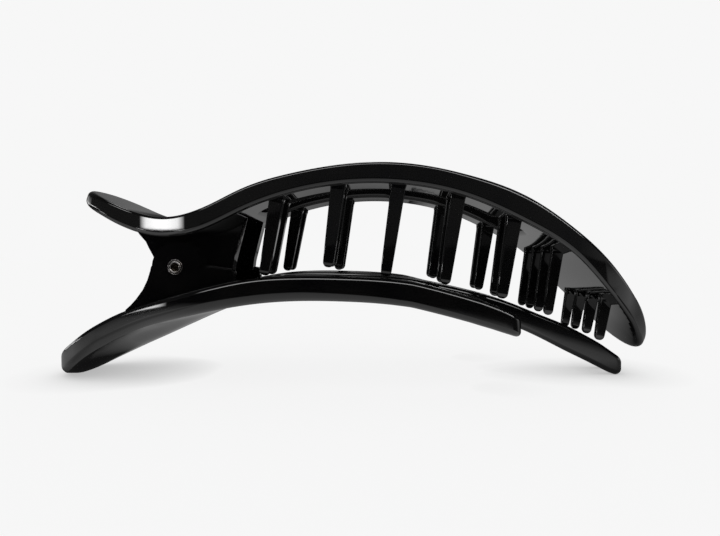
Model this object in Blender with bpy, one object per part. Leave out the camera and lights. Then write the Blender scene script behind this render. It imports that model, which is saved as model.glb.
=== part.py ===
"""A flat claw hair clip: a toothed upper jaw and a pronged lower jaw that turn on one pin.

+X runs from the hinge to the tip, +Y across the clip and +Z up. The clip lies closed on the end of its
lower tab and the tips of its long prongs, with the origin on that surface, under the middle of the clip.
"""

import math

import bmesh
import bpy
import numpy as np

MM = 0.001

# Widths, in millimetres across the clip
HALF_WIDTH = 20.5
UPPER_TAB_HALF = 11.5
UPPER_TAB_SQUARENESS = 2.5
LOWER_TAB_HALF = 13.0
LOWER_TAB_SQUARENESS = 2.0
SLOT_HALF = 9.2
SLOT_CORNER = 2.5
OUTER_PRONG_INNER_FACE = 15.4
INNER_PRONG_OUTER_FACE = 5.3
INNER_PRONG_INNER_FACE = 1.7

# Places along the clip, in millimetres
UPPER_TAB_END = -59.35
LOWER_TAB_END = -67.3
UPPER_NECK_START = -47.8
LOWER_NECK_START = -54.0
NECK_END = -27.8
TIP_CENTRE = 47.25
SLOT_START = -18.6
SLOT_END = 39.4
GAP_START = -15.75
OUTER_PRONG_END = 36.2
INNER_PRONG_END = 62.15
BELLY_END = -22.9

# Hinge, in millimetres
PIN_X = -35.75
PIN_Z = 25.2
PIN_RADIUS = 1.05
PIN_BORE_RADIUS = 0.6
PIN_HEAD_RADIUS = 1.7
PIN_HEAD_LENGTH = 0.5
PIN_SIDES = 18
PIN_HOLE_RADIUS = 1.35
UPPER_LUG_HEAD_RADIUS = 4.9
LOWER_LUG_HEAD_RADIUS = 5.2
UPPER_LUG_INNER = 8.4
UPPER_LUG_OUTER = 11.5
LOWER_LUG_INNER = 11.8
LOWER_LUG_OUTER = 14.2
CLEARANCE = 0.3

# Spring, in millimetres
COIL_RADIUS = 2.7
WIRE_RADIUS = 0.45
COIL_TURNS = 6
COIL_HALF_LENGTH = 3.6
COIL_STEPS = 12
UPPER_LEG = ((-43.65, 31.45), (-41.15, 30.7), (-38.2, 29.3))
LOWER_LEG = ((-38.25, 21.3), (-41.25, 19.7), (-44.25, 17.75))

# Upper plate, one row for each section:
# place along the clip, outer height, inner height, how far the inner side's end is moved along
UPPER_SECTIONS = (
    (-59.35, 43.4, 40.0, -1.4),
    (-53.6, 40.7, 36.8, -0.5),
    (-48.6, 38.35, 34.05, 0.0),
    (-42.1, 36.4, 32.1, 0.0),
    (-36.1, 35.8, 31.65, 0.0),
    (-28.6, 37.1, 32.7, 0.0),
    (-20.6, 40.8, 36.25, 0.0),
    (-9.5, 44.1, 40.05, 0.0),
    (2.5, 45.85, 41.75, 0.0),
    (14.5, 45.55, 41.25, 0.0),
    (26.5, 42.95, 38.35, 0.0),
    (38.4, 38.2, 32.7, 0.0),
    (46.65, 32.35, 27.25, 0.0),
    (54.8, 24.85, 18.8, -0.2),
    (60.75, 18.05, 12.75, -0.8),
    (64.05, 13.9, 9.2, -1.5),
    (67.75, 7.6, 4.7, -1.6),
)

# Lower plate, one row for each section: place along the clip, outer height, inner height, belly
LOWER_SECTIONS = (
    (-67.3, 0.5, 4.3, 0.3),
    (-65.05, 0.85, 6.0, 0.8),
    (-62.05, 2.3, 7.75, 1.95),
    (-58.65, 4.65, 9.95, 2.85),
    (-54.2, 7.4, 12.65, 3.5),
    (-49.3, 9.9, 15.0, 3.75),
    (-43.8, 12.1, 16.85, 3.55),
    (-35.95, 14.25, 18.9, 2.2),
    (-27.95, 15.9, 20.9, 0.6),
    (-18.8, 17.4, 22.75, 0.0),
    (-9.8, 18.05, 23.35, 0.0),
    (0.2, 17.95, 23.2, 0.0),
    (10.2, 17.25, 22.55, 0.0),
    (20.2, 15.7, 20.95, 0.0),
    (28.2, 14.1, 19.1, 0.0),
    (36.2, 11.7, 16.75, 0.0),
    (44.15, 8.2, 13.5, 0.0),
    (49.2, 5.55, 11.4, 0.0),
    (54.2, 3.05, 8.8, 0.0),
    (57.95, 1.1, 6.55, 0.0),
    (59.75, 0.25, 5.25, 0.0),
    (62.15, -0.25, 3.6, 0.0),
)

# How far the outer prongs lie under the inner ones, one row for each section: place, top, underside
OUTER_PRONG_DROPS = (
    (14.2, 0.0, 0.0),
    (20.2, 0.45, 0.5),
    (28.2, 1.0, 1.2),
    (32.2, 1.5, 1.4),
    (36.2, 2.3, 1.4),
)

# The plates' rounded edges, one row for each section: place along the clip, radius along the outside,
# radius along the gaps, degrees that the arc stops short of the flat side, which leaves a crease
UPPER_TOP_EDGE = (
    (-59.35, 1.3, 0.5, 0.0),
    (-50.0, 0.6, 0.5, 0.0),
    (20.0, 0.5, 0.5, 0.0),
    (36.0, 0.9, 0.5, 0.0),
    (67.75, 1.1, 1.1, 0.0),
)
UPPER_BOTTOM_EDGE = (
    (-59.35, 1.4, 1.1, 0.0),
    (-50.0, 1.1, 1.1, 0.0),
    (56.0, 1.1, 1.1, 0.0),
    (67.75, 1.7, 1.7, 0.0),
)
LOWER_TOP_EDGE = (
    (-67.3, 1.0, 0.9, 0.0),
    (-61.0, 0.9, 0.9, 0.0),
    (62.15, 0.9, 0.9, 0.0),
)
LOWER_BOTTOM_EDGE = (
    (-67.3, 2.0, 1.3, 25.0),
    (-61.0, 2.3, 1.3, 35.0),
    (-50.0, 2.5, 1.3, 35.0),
    (-35.0, 2.3, 1.3, 25.0),
    (-20.0, 2.0, 1.3, 0.0),
    (-8.0, 2.0, 1.3, 0.0),
    (12.0, 1.35, 1.3, 0.0),
    (62.15, 1.3, 1.3, 0.0),
)

# Teeth, one row for each line across the clip: root place, tip place, tip heights from -Y to +Y
SIDE_TEETH = (
    (-13.1, -15.95, (23.4, 23.4, 23.6, 23.6)),
    (-0.5, -2.8, (24.95, 24.95, 23.7, 23.7)),
    (11.8, 9.0, (23.1, 23.1, 23.2, 23.2)),
    (23.8, 21.0, (21.3, 21.3, 21.4, 21.4)),
    (35.0, 32.45, (18.35, 18.35, 18.4, 18.4)),
)
END_TEETH = (
    (45.6, 43.5, (14.3, 14.3, 14.3, 14.3)),
    (55.75, 54.25, (8.9, 9.3, 9.3, 8.9)),
)
SIDE_TEETH_ACROSS = (-17.9, -10.75, 10.75, 17.9)
END_TEETH_ACROSS = (-11.5, -3.85, 3.85, 11.5)
SIDE_TOOTH_WIDTHS = (3.0, 2.2)
END_TOOTH_WIDTHS = (2.4, 1.9)
TOOTH_ROOT_DEPTH = 1.2
TOOTH_CHAMFER_SHARE = 0.28
TOOTH_THICKNESS_SHARE = 0.7  # across the clip, as a share of the width along it

# A tooth's rounded end, one row for each ring: distance from the tip, share of the tip's width
TOOTH_END_RINGS = (
    (1.1, 1.0),
    (0.35, 0.75),
    (0.0, 0.25),
)

# Lugs, one row for each corner: place along the clip, height. Each head is an arc about the pin.
UPPER_LUG_FRONT = (
    (-21.1, 37.45),
    (-21.5, 35.55),
    (-23.9, 26.65),
    (-24.3, 23.85),
)
UPPER_LUG_BACK = (
    (-41.35, 26.6),
    (-42.05, 28.2),
    (-42.5, 29.5),
    (-43.3, 30.75),
    (-44.75, 32.4),
    (-46.0, 34.3),
)
LOWER_LUG_FRONT = (
    (-23.2, 19.55),
    (-23.2, 24.05),
    (-23.7, 24.5),
    (-29.35, 25.35),
    (-30.15, 24.85),
)
LOWER_LUG_BACK = (
    (-41.35, 24.4),
    (-42.0, 22.4),
    (-43.05, 20.3),
    (-44.4, 18.2),
    (-46.95, 16.05),
    (-47.45, 13.85),
)

# Surface detail
EDGE_STEPS = 2
BELLY_FULLNESS = 1.25
BELLY_CUT_SHARES = (-0.8, -0.55, -0.3, 0.0, 0.3, 0.55, 0.8)
FLAT_LEVEL = 10.0
CUT_TOLERANCE = 0.01
STATION_STEP = 5.0
ARC_STEPS = 8
SMOOTH_ANGLE = 35.0


def clear_scene():
    for old in list(bpy.data.objects):
        bpy.data.objects.remove(old, do_unlink=True)


def plastic_material():
    material = bpy.data.materials.new("gloss black plastic")
    material.use_nodes = True
    shader = material.node_tree.nodes["Principled BSDF"]
    shader.inputs["Base Color"].default_value = (0.006, 0.006, 0.007, 1.0)
    shader.inputs["Roughness"].default_value = 0.12
    shader.inputs["Metallic"].default_value = 0.0
    return material


def steel_material():
    material = bpy.data.materials.new("bright steel")
    material.use_nodes = True
    shader = material.node_tree.nodes["Principled BSDF"]
    shader.inputs["Base Color"].default_value = (0.55, 0.53, 0.5, 1.0)
    shader.inputs["Roughness"].default_value = 0.25
    shader.inputs["Metallic"].default_value = 1.0
    return material


def spline(rows, column):
    """A smooth curve through one column of a table, as a function of its first column."""
    places = np.array([row[0] for row in rows])
    values = np.array([row[column] for row in rows])
    count = len(places)
    steps = np.diff(places)
    slopes = np.diff(values) / steps
    matrix = np.eye(count)
    right = np.zeros(count)
    for i in range(1, count - 1):
        matrix[i, i - 1 : i + 2] = steps[i - 1], 2 * (steps[i - 1] + steps[i]), steps[i]
        right[i] = 6 * (slopes[i] - slopes[i - 1])
    bend = np.linalg.solve(matrix, right)

    def height(place):
        i = int(np.clip(np.searchsorted(places, place) - 1, 0, count - 2))
        step = steps[i]
        before = place - places[i]
        after = places[i + 1] - place
        curved = (bend[i] * after**3 + bend[i + 1] * before**3) / (6 * step)
        start = (values[i] / step - bend[i] * step / 6) * after
        end = (values[i + 1] / step - bend[i + 1] * step / 6) * before
        return float(curved + start + end)

    return height


upper_outer = spline(UPPER_SECTIONS, 1)
upper_inner = spline(UPPER_SECTIONS, 2)
lower_outer = spline(LOWER_SECTIONS, 1)
lower_inner = spline(LOWER_SECTIONS, 2)
lower_belly = spline(LOWER_SECTIONS, 3)


def straight(rows, column, place):
    """The column's value at a place, on straight lines between the rows."""
    return float(np.interp(place, [row[0] for row in rows], [row[column] for row in rows]))


def neck_half_width(place, tab_half, neck_start):
    """Half the width where the tab widens into the body."""
    share = min(max((place - neck_start) / (NECK_END - neck_start), 0.0), 1.0)
    return tab_half + (HALF_WIDTH - tab_half) * share * share * (3 - 2 * share)


def tab_side(end, tab_half, squareness, neck_start):
    """The +Y side of a plate from the middle of its tab's end to where it reaches full width."""
    centre = end + tab_half
    power = 2 / squareness
    side = []
    for angle in np.linspace(0, math.pi / 2, ARC_STEPS):
        x = centre - tab_half * max(math.cos(angle), 0.0) ** power
        side.append((x, tab_half * math.sin(angle) ** power))
    for place in np.linspace(max(neck_start, centre + 1.0), NECK_END, ARC_STEPS):
        side.append((float(place), neck_half_width(place, tab_half, neck_start)))
    return side


def mirrored(side):
    """The closed outline whose +Y side is given from end to end."""
    return side + [(x, -y) for x, y in reversed(side) if abs(y) > 1e-6]


def rounded_corner(corner, before, after, radius):
    """Points round a square corner, from the side towards one neighbour to the side towards the next."""
    corner, before, after = (np.array(point, float) for point in (corner, before, after))
    to_before = (before - corner) / np.linalg.norm(before - corner)
    to_after = (after - corner) / np.linalg.norm(after - corner)
    centre = corner + radius * (to_before + to_after)
    points = []
    for angle in np.linspace(0, math.pi / 2, 4):
        point = centre - radius * (to_after * math.cos(angle) + to_before * math.sin(angle))
        points.append((float(point[0]), float(point[1])))
    return points


def upper_outline():
    side = tab_side(UPPER_TAB_END, UPPER_TAB_HALF, UPPER_TAB_SQUARENESS, UPPER_NECK_START)
    for angle in np.linspace(0, math.pi / 2, ARC_STEPS + 4):
        side.append((TIP_CENTRE + HALF_WIDTH * math.sin(angle), HALF_WIDTH * math.cos(angle)))
    return mirrored(side)


def slot_outline():
    corners = (
        (SLOT_START, -SLOT_HALF),
        (SLOT_END, -SLOT_HALF),
        (SLOT_END, SLOT_HALF),
        (SLOT_START, SLOT_HALF),
    )
    points = []
    for i, corner in enumerate(corners):
        points += rounded_corner(corner, corners[i - 1], corners[(i + 1) % 4], SLOT_CORNER)
    return points


def lower_outline():
    """The lower plate with its four prongs."""
    side = tab_side(LOWER_TAB_END, LOWER_TAB_HALF, LOWER_TAB_SQUARENESS, LOWER_NECK_START)
    corners = (
        (OUTER_PRONG_END, HALF_WIDTH, 2.0),
        (OUTER_PRONG_END, OUTER_PRONG_INNER_FACE, 2.0),
        (GAP_START, OUTER_PRONG_INNER_FACE, 2.0),
        (GAP_START, INNER_PRONG_OUTER_FACE, 2.0),
        (INNER_PRONG_END, INNER_PRONG_OUTER_FACE, 1.75),
        (INNER_PRONG_END, INNER_PRONG_INNER_FACE, 1.75),
        (GAP_START, INNER_PRONG_INNER_FACE, 1.6),
        (GAP_START, -INNER_PRONG_INNER_FACE, 1.6),
    )
    points = [side[-1]] + [(x, y) for x, y, _ in corners]
    for i, (x, y, radius) in enumerate(corners[:-1]):
        side += rounded_corner((x, y), points[i], points[i + 2], radius)
    return mirrored(side)


def inset(outline, distances):
    """The outline's points moved towards the material, which lies on the right of its way round."""
    points = np.array(outline)
    ahead = np.roll(points, -1, axis=0) - points
    ahead /= np.linalg.norm(ahead, axis=1)[:, None]
    right = np.stack([ahead[:, 1], -ahead[:, 0]], axis=1)
    both = right + np.roll(right, 1, axis=0)
    scale = 2.0 / np.maximum((both**2).sum(axis=1), 1.0)
    return points + both * (scale * distances)[:, None]


def spread(outline, step):
    """The outline with no stretch longer than step along X."""
    points = []
    for start, end in zip(outline, outline[1:] + outline[:1]):
        pieces = max(1, math.ceil(abs(end[0] - start[0]) / step))
        for i in range(pieces):
            share = i / pieces
            points.append((start[0] + (end[0] - start[0]) * share, start[1] + (end[1] - start[1]) * share))
    return points


def along_gap(x, y):
    """Whether a point of an outline lies on a slot or a gap between prongs."""
    return GAP_START - CUT_TOLERANCE < x and abs(y) < OUTER_PRONG_INNER_FACE + CUT_TOLERANCE


def edge_ring(outline, rows, share):
    """How far in and how far off the flat side an edge's arc lies at a share of its way, for each point."""
    radius = np.array([straight(rows, 2 if along_gap(x, y) else 1, x) for x, y in outline])
    crease = np.radians([straight(rows, 3, x) for x, _ in outline])
    angle = crease + (math.pi / 2 - crease) * share
    return radius * (1 - np.sin(angle)), radius * (np.cos(crease) - np.cos(angle))


def plate_mesh(outlines, edges, top, bottom, cuts):
    """A plate between two surfaces. Material is on the right of each outline.

    edges are the tables of its top and bottom edge, and top and bottom give a point's height. cuts are planes that divide the plate first, so
    that it can bend: the axis (0 or 1), where, and the far end along X of what the plane cuts.
    """
    shell = bmesh.new()
    shares = np.linspace(0, 1, EDGE_STEPS + 1)
    rings = [(edges[0], share, 1) for share in shares] + [(edges[1], share, -1) for share in shares[::-1]]
    edges_by_cap = {0: [], len(rings) - 1: []}
    for outline in outlines:
        outline = spread(outline, STATION_STEP)
        rows = []
        for edge, share, side in rings:
            inwards, offset = edge_ring(outline, edge, share)
            heights = side * (FLAT_LEVEL - offset)
            rows.append([shell.verts.new((*p, z)) for p, z in zip(inset(outline, inwards), heights)])
        for upper, lower in zip(rows, rows[1:]):
            for i in range(len(outline)):
                shell.faces.new((upper[i - 1], upper[i], lower[i], lower[i - 1]))
        for place, rims in edges_by_cap.items():
            row = rows[place]
            rims += [shell.edges.get((row[i - 1], row[i])) for i in range(len(outline))]
    for rims in edges_by_cap.values():
        bmesh.ops.triangle_fill(shell, use_beauty=True, use_dissolve=False, edges=rims)
    for axis, place, far_end in cuts:
        faces = [f for f in shell.faces if f.calc_center_median().x < far_end]
        around = {item for face in faces for item in (*face.verts, *face.edges)}
        direction = (1, 0, 0) if axis == 0 else (0, 1, 0)
        point = tuple(place * share for share in direction)
        geometry = faces + list(around)
        plane = {"plane_co": point, "plane_no": direction}
        bmesh.ops.bisect_plane(shell, geom=geometry, dist=CUT_TOLERANCE, **plane)
    for vert in shell.verts:
        x, y, height = vert.co
        if height > 0:
            vert.co = top(x, y, height - FLAT_LEVEL)
        else:
            vert.co = bottom(x, y, height + FLAT_LEVEL)
    bmesh.ops.recalc_face_normals(shell, faces=shell.faces[:])
    return shell


def station_cuts(start, end):
    return [(0, float(place), math.inf) for place in np.arange(start + STATION_STEP, end, STATION_STEP)]


def finish_object(name, shell, material):
    bmesh.ops.recalc_face_normals(shell, faces=shell.faces[:])
    bmesh.ops.scale(shell, vec=(MM, MM, MM), verts=shell.verts[:])
    mesh = bpy.data.meshes.new(name)
    shell.to_mesh(mesh)
    shell.free()
    mesh.materials.append(material)
    mesh.shade_smooth()
    mesh.set_sharp_from_angle(angle=math.radians(SMOOTH_ANGLE))
    made = bpy.data.objects.new(name, mesh)
    bpy.context.scene.collection.objects.link(made)
    return made


def join(target, helper, operation):
    modifier = target.modifiers.new(helper.name, "BOOLEAN")
    modifier.operation = operation
    modifier.object = helper
    helper.hide_render = True
    helper.display_type = "WIRE"


def stack_rings(shell, rows, closed=True):
    """Joins a stack of rings, each with the same number of points. closed adds a face at each end."""
    for low, high in zip(rows, rows[1:]):
        for i in range(len(low)):
            shell.faces.new((low[i - 1], low[i], high[i], high[i - 1]))
    if closed:
        shell.faces.new(rows[0])
        shell.faces.new(rows[-1])


def add_tooth(shell, root, tip, widths):
    """A tapered tooth with chamfered corners and a rounded tip."""
    root, tip = np.array(root), np.array(tip)
    length = np.linalg.norm(root - tip)
    levels = [(0.0, widths[0])]
    levels += [(1 - distance / length, widths[1] * share) for distance, share in TOOTH_END_RINGS]
    rows = []
    for share, width in levels:
        centre = root + (tip - root) * share
        half = width / 2
        cut = width * TOOTH_CHAMFER_SHARE
        corners = [(half - cut, half), (cut - half, half), (-half, half - cut), (-half, cut - half)]
        corners += [(-across, -along) for across, along in corners]
        ring = [(dx, dy * TOOTH_THICKNESS_SHARE, 0.0) for dx, dy in corners]
        rows.append([shell.verts.new(centre + corner) for corner in ring])
    stack_rings(shell, rows)


def teeth_object(material):
    shell = bmesh.new()
    groups = (
        (SIDE_TEETH, SIDE_TEETH_ACROSS, SIDE_TOOTH_WIDTHS),
        (END_TEETH, END_TEETH_ACROSS, END_TOOTH_WIDTHS),
    )
    for lines, across, widths in groups:
        for root_place, tip_place, tip_heights in lines:
            root_height = upper_inner(root_place) + TOOTH_ROOT_DEPTH
            for y, tip_height in zip(across, tip_heights):
                add_tooth(shell, (root_place, y, root_height), (tip_place, y, tip_height), widths)
    return finish_object("teeth", shell, material)


def arc_about_pin(radius, start, end, steps):
    """Points on an arc in the XZ plane, angles in degrees from +X towards +Z."""
    angles = np.radians(np.linspace(start, end, steps))
    return [(PIN_X + radius * math.cos(a), PIN_Z + radius * math.sin(a)) for a in angles]


def lugs_object(name, outline, inner, outer, material):
    """Two flat lugs, one on each side of the clip, cut from one outline in the XZ plane."""
    shell = bmesh.new()
    for low, high in ((-outer, -inner), (inner, outer)):
        stack_rings(shell, [[shell.verts.new((x, y, z)) for x, z in outline] for y in (low, high)])
    return finish_object(name, shell, material)


def pin_hole_object(name, half_length, material):
    shell = bmesh.new()
    circle = arc_about_pin(PIN_HOLE_RADIUS, 0, 360 - 360 / PIN_SIDES, PIN_SIDES)
    rows = [[shell.verts.new((x, y, z)) for x, z in circle] for y in (-half_length, half_length)]
    stack_rings(shell, rows)
    return finish_object(name, shell, material)


def upper_jaw(material):
    def leaning(x, height):
        """The place of a point at a height between the plate's sides at x."""
        outer, inner = upper_outer(x), upper_inner(x)
        return x + straight(UPPER_SECTIONS, 3, x) * (outer - height) / (outer - inner)

    def top(x, y, depth):
        height = upper_outer(x) + depth
        return leaning(x, height), y, height

    def bottom(x, y, rise):
        height = upper_inner(x) + rise
        return leaning(x, height), y, height

    cuts = station_cuts(UPPER_TAB_END, TIP_CENTRE + HALF_WIDTH)
    edges = (UPPER_TOP_EDGE, UPPER_BOTTOM_EDGE)
    shell = plate_mesh([upper_outline(), slot_outline()], edges, top, bottom, cuts)
    jaw = finish_object("upper_jaw", shell, material)
    head = arc_about_pin(UPPER_LUG_HEAD_RADIUS, 300, 165, 9)
    outline = [*UPPER_LUG_FRONT, *head, *UPPER_LUG_BACK]
    join(jaw, teeth_object(material), "UNION")
    join(jaw, lugs_object("upper_lugs", outline, UPPER_LUG_INNER, UPPER_LUG_OUTER, material), "UNION")
    join(jaw, pin_hole_object("upper_pin_hole", UPPER_LUG_OUTER + 1, material), "DIFFERENCE")
    return jaw


def belly_depth(x, y):
    """How far the tab's underside bows down in its middle."""
    if x > BELLY_END:
        return 0.0
    half = neck_half_width(x, LOWER_TAB_HALF, LOWER_NECK_START)
    before_centre = max((LOWER_TAB_END + LOWER_TAB_HALF - x) / LOWER_TAB_HALF, 0.0)
    half *= math.sqrt(max(1 - before_centre**2, 0.0001))
    inside = min(max(1 - abs(y) / half, 0.0) * BELLY_FULLNESS, 1.0)
    return max(lower_belly(x), 0.0) * inside * inside * (3 - 2 * inside)


def lower_jaw(material):
    gap_middle = (OUTER_PRONG_INNER_FACE + INNER_PRONG_OUTER_FACE) / 2

    def top(x, y, depth):
        drop = straight(OUTER_PRONG_DROPS, 1, x) if abs(y) > gap_middle else 0.0
        return x, y, lower_inner(x) - drop + depth

    def bottom(x, y, rise):
        drop = straight(OUTER_PRONG_DROPS, 2, x) if abs(y) > gap_middle else 0.0
        return x, y, max(lower_outer(x) - drop - belly_depth(x, y), 0.0) + rise

    cuts = station_cuts(LOWER_TAB_END, INNER_PRONG_END)
    for share in BELLY_CUT_SHARES:
        cuts.append((1, share * LOWER_TAB_HALF, BELLY_END))
    edges = (LOWER_TOP_EDGE, LOWER_BOTTOM_EDGE)
    jaw = finish_object("lower_jaw", plate_mesh([lower_outline()], edges, top, bottom, cuts), material)
    head = arc_about_pin(LOWER_LUG_HEAD_RADIUS, 0, 180, 11)
    outline = [*LOWER_LUG_FRONT, *head, *LOWER_LUG_BACK]
    join(jaw, lugs_object("lower_lugs", outline, LOWER_LUG_INNER, LOWER_LUG_OUTER, material), "UNION")
    join(jaw, pin_hole_object("lower_pin_hole", LOWER_LUG_OUTER + 1, material), "DIFFERENCE")
    return jaw


def hinge_pin(material):
    """A tubular pin with a rolled ring at each end."""
    reach = LOWER_LUG_OUTER + CLEARANCE
    end = reach + PIN_HEAD_LENGTH
    crest = (PIN_HEAD_RADIUS + PIN_BORE_RADIUS) / 2
    profile = [
        (PIN_RADIUS, -reach),
        (PIN_HEAD_RADIUS, -reach),
        (PIN_HEAD_RADIUS, -end + 0.2),
        (crest, -end),
        (PIN_BORE_RADIUS, -end + 0.3),
    ]
    profile += [(radius, -y) for radius, y in reversed(profile)]
    shell = bmesh.new()
    rows = []
    for radius, y in profile:
        circle = arc_about_pin(radius, 0, 360 - 360 / PIN_SIDES, PIN_SIDES)
        rows.append([shell.verts.new((x, y, z)) for x, z in circle])
    stack_rings(shell, rows + rows[:1], closed=False)
    return finish_object("hinge_pin", shell, material)


def spring_path():
    """The wire's middle line: a leg under the upper plate, the coil, and a leg over the lower plate."""
    steps = COIL_TURNS * COIL_STEPS + COIL_STEPS // 2
    path = [(x, -COIL_HALF_LENGTH, z) for x, z in UPPER_LEG]
    for i in range(steps + 1):
        angle = math.pi / 2 + 2 * math.pi * i / COIL_STEPS
        y = COIL_HALF_LENGTH * (2 * i / steps - 1)
        path.append((PIN_X + COIL_RADIUS * math.cos(angle), y, PIN_Z + COIL_RADIUS * math.sin(angle)))
    return path + [(x, COIL_HALF_LENGTH, z) for x, z in LOWER_LEG]


def torsion_spring(material):
    path = spring_path()
    curve = bpy.data.curves.new("torsion_spring", "CURVE")
    curve.dimensions = "3D"
    curve.bevel_depth = WIRE_RADIUS * MM
    curve.bevel_resolution = 1
    curve.use_fill_caps = True
    line = curve.splines.new("POLY")
    line.points.add(len(path) - 1)
    for point, place in zip(line.points, path):
        point.co = (*(MM * value for value in place), 1.0)
    curve.materials.append(material)
    made = bpy.data.objects.new("torsion_spring", curve)
    bpy.context.scene.collection.objects.link(made)


def main():
    clear_scene()
    plastic = plastic_material()
    steel = steel_material()
    hinge = bpy.data.objects.new("hinge", None)
    hinge.location = (PIN_X * MM, 0, PIN_Z * MM)
    bpy.context.scene.collection.objects.link(hinge)
    jaw = upper_jaw(plastic)
    bpy.context.view_layer.update()
    jaw.parent = hinge
    jaw.matrix_parent_inverse = hinge.matrix_world.inverted()
    lower_jaw(plastic)
    hinge_pin(steel)
    torsion_spring(steel)


main()
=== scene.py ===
import math

import bmesh
import bpy
import numpy as np
from mathutils import Matrix


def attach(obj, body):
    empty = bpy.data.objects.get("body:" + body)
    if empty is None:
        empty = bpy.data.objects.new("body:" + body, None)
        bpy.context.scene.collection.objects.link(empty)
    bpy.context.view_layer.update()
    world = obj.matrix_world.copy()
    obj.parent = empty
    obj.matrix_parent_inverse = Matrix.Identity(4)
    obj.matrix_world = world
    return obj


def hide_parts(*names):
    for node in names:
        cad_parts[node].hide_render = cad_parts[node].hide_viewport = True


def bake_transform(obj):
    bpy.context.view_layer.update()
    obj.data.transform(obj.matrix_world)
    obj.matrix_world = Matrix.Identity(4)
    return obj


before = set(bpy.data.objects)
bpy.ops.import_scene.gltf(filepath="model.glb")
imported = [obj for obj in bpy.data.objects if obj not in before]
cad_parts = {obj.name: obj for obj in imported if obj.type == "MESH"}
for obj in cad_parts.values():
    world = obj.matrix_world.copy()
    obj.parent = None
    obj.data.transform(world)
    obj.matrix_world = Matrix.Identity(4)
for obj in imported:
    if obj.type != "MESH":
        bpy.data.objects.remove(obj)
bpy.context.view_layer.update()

# A flat claw hair clip that lies closed on a pale table.
# Lengths are millimetres until a mesh is finished, and metres in the studio and the materials.

millimetre = 0.001
scene = bpy.context.scene

# camera and studio

photoCamera = {
    "place": (8.315, -135.5, 27.38),
    "turnLeft": 2.191,  # degrees from +Y
    "lookDown": 1.294,
    "roll": 0.487,
    "lens": 28.75,
    "sensor": 36.0,
    "sees": (0.001, 30.0),  # metres
}


def placeCamera(values):
    camera = bpy.data.cameras.new("photoCamera")
    camera.sensor_width = values["sensor"]
    camera.lens = values["lens"]
    camera.clip_start, camera.clip_end = values["sees"]
    holder = bpy.data.objects.new("photoCamera", camera)
    scene.collection.objects.link(holder)
    turn = Matrix.Rotation(math.radians(values["roll"]), 4, "Y")
    turn = turn @ Matrix.Rotation(math.radians(values["turnLeft"]), 4, "Z")
    turn = turn @ Matrix.Rotation(math.radians(90.0 - values["lookDown"]), 4, "X")
    place = [length * millimetre for length in values["place"]]
    holder.matrix_world = Matrix.Translation(place) @ turn
    scene.camera = holder


studio = {
    "wall": 0.93,
    "floorDiffuse": 0.07,
    "floorRoughness": 0.9,
    # the lower glow is painted contact shade where the clip comes near the floor
    "floorGlow": (0.46, 0.865),  # where the clip touches it, and out in the open
    "floorOpen": (0.1, 1.0),  # how open the floor is at those two glows
    "shadeReach": 0.013,  # metres, as the rest
    "floorSize": 6.0,
    "mirrorDrop": 0.0002,
    "roomRadius": 1.6,
    "roomRings": (64, 32),
    "softEnds": 0.1,  # share of a softbox's height that fades at its top and bottom
}

# what the gloss mirrors low and higher up: turn from the camera's side towards -X in degrees, brightness
lowTones = (
    (0, 0.08),
    (15, 0.09),
    (35, 0.1),
    (96, 0.1),
    (103, 2.0),
    (124, 2.0),
    (132, 0.03),
    (210, 0.015),
    (240, 0.1),
    (262, 1.2),
    (285, 1.5),
    (298, 0.4),
    (325, 0.2),
    (345, 0.09),
    (360, 0.08),
)
highTones = (
    (0, 0.04),
    (60, 0.05),
    (130, 0.05),
    (152, 0.14),
    (162, 0.24),
    (185, 0.3),
    (215, 0.15),
    (250, 0.05),
    (360, 0.04),
)
# height as a share of the room's radius, how much of the low and of the high tones shows there
lowReach = ((0.0, 1.0), (0.17, 1.0), (0.25, 0.0), (1.0, 0.0))
highReach = ((0.0, 0.0), (0.17, 0.0), (0.25, 1.0), (0.7, 1.0), (1.0, 0.2))

# what it mirrors on the table, with painted shade under and behind the clip: place in metres, brightness
tableAcross = (
    (-0.3, 0.12),
    (-0.21, 0.15),
    (-0.18, 0.7),
    (-0.14, 0.95),
    (-0.1, 1.15),
    (-0.075, 0.7),
    (-0.062, 0.62),
    (-0.054, 1.0),
    (-0.02, 0.85),
    (0.0, 0.95),
    (0.06, 1.2),
    (0.078, 0.6),
    (0.13, 0.6),
    (0.18, 0.95),
    (0.4, 0.95),
    (0.8, 0.4),
)
tableAway = (
    (-0.6, 0.4),
    (-0.2, 0.6),
    (-0.065, 0.74),
    (-0.02, 0.9),
    (-0.01, 0.7),
    (0.0, 0.5),
    (0.006, 0.4),
    (0.014, 0.33),
    (0.04, 0.3),
    (0.07, 0.3),
    (0.15, 0.3),
    (0.3, 0.2),
    (0.6, 0.04),
)
# painted contact shade on the mirrored table: where the clip touches the table, and the distances where the
# shade starts to fade and ends, in metres
paintedContactShade = ((-0.062, 0.002, 0.008, 0.0125), (0.06, 0.004, 0.006, 0.03))
contactShadeTone = 0.06
tableFront = (-0.18, -0.09)  # where it fades out in front, except on the right
tableRight = (0.2, 0.3)
# painted shade: a dark band that runs back across the table between two slanted edges
paintedShadeBand = {
    "leftSlant": 0.2625,
    "leftEdge": (0.078, 0.09),
    "rightSlant": 1.2,
    "rightEdge": (0.05, 0.08),
    "strength": 0.9,
}

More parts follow.
